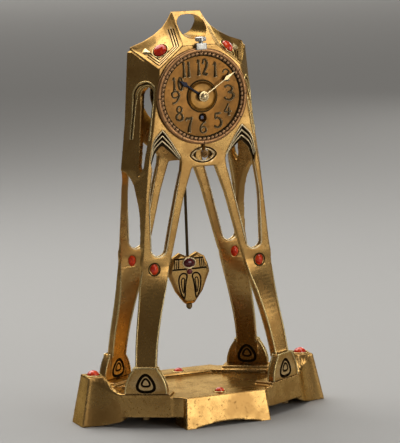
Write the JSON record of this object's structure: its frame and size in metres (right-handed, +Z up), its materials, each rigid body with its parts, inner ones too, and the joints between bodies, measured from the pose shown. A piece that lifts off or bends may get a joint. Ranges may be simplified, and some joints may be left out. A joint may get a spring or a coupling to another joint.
{
  "type": "pendulum table clock",
  "caption": "Brass tower clock with a loop handle, relief dial, splayed twisted legs, red cabochons, a hanging pendulum and a footed tray base.",
  "frame": {"origin": "centre of the base on the floor", "axes": "+Z up, front with the dial towards -Y, +X to the right seen from the front"},
  "size_m": [0.25, 0.15, 0.385],
  "materials": {
    "cast_brass": "aged satin",
    "bright_brass": "polished",
    "bronze": "aged satin",
    "steel": "satin",
    "blued_steel": "blued",
    "red_stone": "polished",
    "dark_stone": "polished"
  },
  "bodies": {
    "case": {"base": "cast_brass", "front_frame": "cast_brass", "back_frame": "cast_brass", "roof": "cast_brass", "front_plate": "bright_brass", "back_plate": "bright_brass", "pillar_top_left": "bright_brass", "pillar_top_right": "bright_brass", "pillar_low_left": "bright_brass", "pillar_low_right": "bright_brass", "dial_foot_left": "bright_brass", "dial_foot_right": "bright_brass", "suspension_cock": "bright_brass", "dial_plate": "bronze", "dial_ring": "bronze", "centre_boss": "bronze", "lower_stud": "bronze", "foot_screw_front_left": "steel", "foot_screw_front_right": "steel", "foot_screw_back_left": "steel", "foot_screw_back_right": "steel", "dial_clip": "steel", "clip_screw": "steel", "suspension_spring": "steel", "base_jewel_front": "red_stone", "base_jewel_back": "red_stone", "base_jewel_left": "red_stone", "base_jewel_right": "red_stone", "leg_jewel_front_left": "red_stone", "leg_jewel_front_right": "red_stone", "leg_jewel_back_left": "red_stone", "leg_jewel_back_right": "red_stone", "roof_jewel_front_left": "red_stone", "roof_jewel_front_right": "red_stone", "roof_jewel_back_left": "red_stone", "roof_jewel_back_right": "red_stone"},
    "hands": {"cannon_pinion": "steel", "minute_hand": "bright_brass", "hand_nut": "bright_brass"},
    "hour_work": {"hour_wheel": "bright_brass", "hour_hand": "blued_steel"},
    "minute_work": {"minute_wheel": "bright_brass"},
    "third": {"third_wheel": "bright_brass"},
    "centre": {"centre_wheel": "bright_brass"},
    "spring_barrel": {"barrel": "bright_brass"},
    "escape": {"escape_wheel": "bright_brass"},
    "winding": {"winding_arbor": "steel", "ratchet_wheel": "steel"},
    "pawl": {"click": "steel"},
    "pendulum": {"pendulum_rod": "bronze"},
    "pallets": {"anchor": "steel", "crutch": "steel"},
    "weight": {"bob": "cast_brass", "bob_jewel": "dark_stone"},
    "regulator": {"rating_nut": "steel"}
  },
  "joints": [
    {"name": "minute_hand_turn", "type": "hinge", "parent": "case", "child": "hands", "pos_m": [0, 0, 0.3067], "axis": [0, 1, 0], "continuous": true},
    {"name": "hour_hand_turn", "type": "hinge", "parent": "case", "child": "hour_work", "pos_m": [0, 0, 0.3067], "axis": [0, 1, 0], "continuous": true},
    {"name": "minute_wheel_turn", "type": "hinge", "parent": "case", "child": "minute_work", "pos_m": [-0.009, 0, 0.3067], "axis": [0, 1, 0], "continuous": true},
    {"name": "third_wheel_turn", "type": "hinge", "parent": "case", "child": "third", "pos_m": [0.0128, 0, 0.3179], "axis": [0, 1, 0], "continuous": true},
    {"name": "centre_wheel_turn", "type": "hinge", "parent": "case", "child": "centre", "pos_m": [0, 0, 0.3067], "axis": [0, 1, 0], "continuous": true},
    {"name": "barrel_turn", "type": "hinge", "parent": "case", "child": "spring_barrel", "pos_m": [0, 0, 0.2866], "axis": [0, 1, 0], "continuous": true},
    {"name": "escape_wheel_turn", "type": "hinge", "parent": "case", "child": "escape", "pos_m": [0, 0, 0.324], "axis": [0, 1, 0], "continuous": true},
    {"name": "winding_turn", "type": "hinge", "parent": "case", "child": "winding", "pos_m": [0, 0, 0.2866], "axis": [0, 1, 0], "range_deg": [0, 1620]},
    {"name": "click_lift", "type": "hinge", "parent": "case", "child": "pawl", "pos_m": [0.0125, 0, 0.2915], "axis": [0, 1, 0], "range_deg": [0, 15], "stiffness_Nm_per_rad": 0.02},
    {"name": "pendulum_swing", "type": "hinge", "parent": "case", "child": "pendulum", "pos_m": [0, 0, 0.3376], "axis": [0, 1, 0], "range_deg": [-3.5, 3.5]},
    {"name": "anchor_swing", "type": "hinge", "parent": "case", "child": "pallets", "pos_m": [0, 0, 0.3376], "axis": [0, 1, 0], "range_deg": [-3.5, 3.5]},
    {"name": "bob_slide", "type": "slide", "parent": "pendulum", "child": "weight", "axis": [0, 0, 1], "range_m": [-0.0028, 0.0028]},
    {"name": "rating_nut_turn", "type": "hinge", "parent": "weight", "child": "regulator", "pos_m": [0, 0.018, 0.098], "axis": [0, 0, 1], "range_deg": [-1450, 1450]}
  ],
  "couplings": [
    {"joint": "hour_hand_turn", "follows": "minute_hand_turn", "ratio": 0.083333},
    {"joint": "minute_wheel_turn", "follows": "minute_hand_turn", "ratio": -0.33333},
    {"joint": "centre_wheel_turn", "follows": "third_wheel_turn", "ratio": -0.13333},
    {"joint": "barrel_turn", "follows": "third_wheel_turn", "ratio": 0.022222},
    {"joint": "escape_wheel_turn", "follows": "third_wheel_turn", "ratio": -8},
    {"joint": "anchor_swing", "follows": "pendulum_swing", "ratio": 1},
    {"joint": "rating_nut_turn", "follows": "bob_slide", "rad_per_m": 8976}
  ]
}
